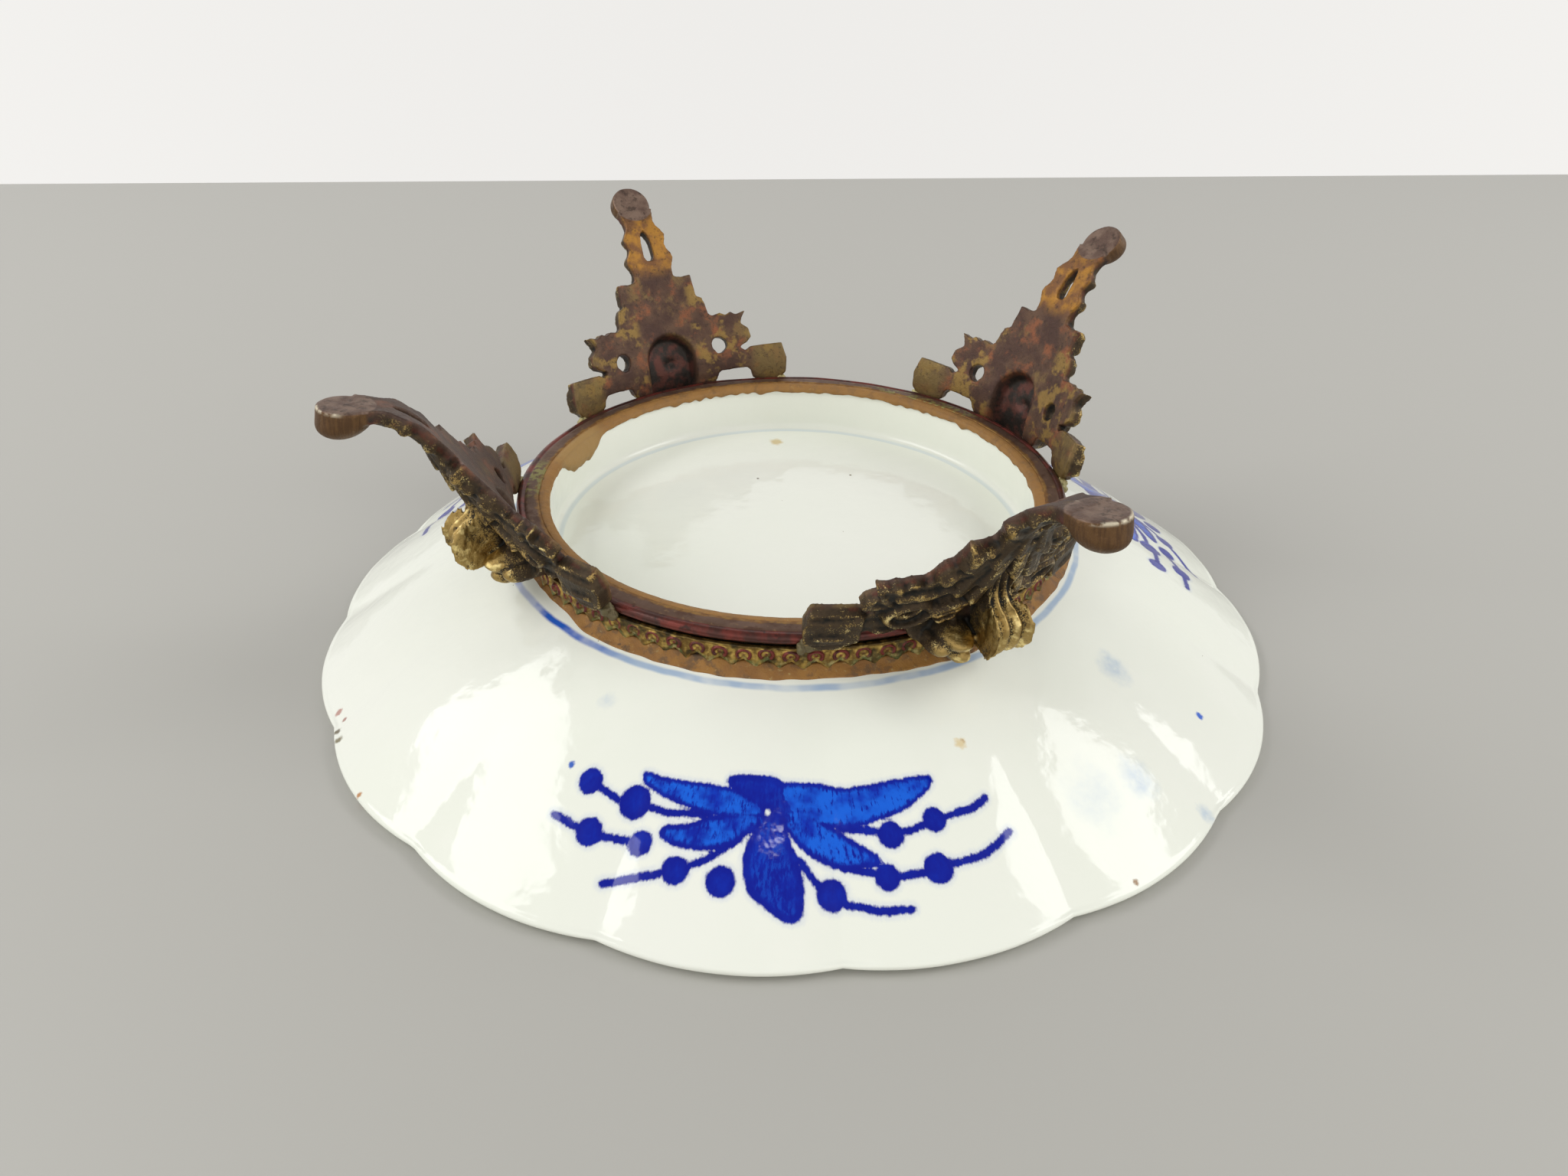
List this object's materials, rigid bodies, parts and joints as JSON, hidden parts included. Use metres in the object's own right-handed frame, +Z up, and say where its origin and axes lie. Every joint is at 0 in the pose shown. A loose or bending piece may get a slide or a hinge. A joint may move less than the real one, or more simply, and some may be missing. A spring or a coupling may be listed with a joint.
{
  "type": "mounted display dish",
  "caption": "Scalloped porcelain dish on a four-footed gilt metal stand, lying face down with its feet up.",
  "frame": {"origin": "centre of the plane that the rim of the dish rests on, under the middle of the foot ring", "axes": "+Z up through the foot ring towards the soles of the feet, -Y towards the front flower spray, +X to the right"},
  "size_m": [0.2204, 0.2204, 0.0821],
  "materials": {
    "porcelain": "glossy clear glaze with underglaze blue sprays",
    "ring_bronze": "smooth purple-brown patina, rubbed on the bead",
    "band_bronze": "worn gilding with verdigris in the hollows",
    "foot_bronze": "dark patina with gilding on the high spots",
    "cement": "dull ochre cement with pits",
    "solder": "lumpy, tarnished yellow-green"
  },
  "bodies": {
    "root": {"porcelain_dish": "porcelain", "foot_ring_cement": "cement", "collar_cement": "cement", "collar_ring": "ring_bronze", "gallery_band": "band_bronze", "foot_back_right": "foot_bronze", "foot_back_left": "foot_bronze", "foot_front_left": "foot_bronze", "foot_front_right": "foot_bronze", "solder_back_right": "solder", "solder_back_left": "solder", "solder_front_left": "solder", "solder_front_right": "solder"}
  },
  "joints": []
}
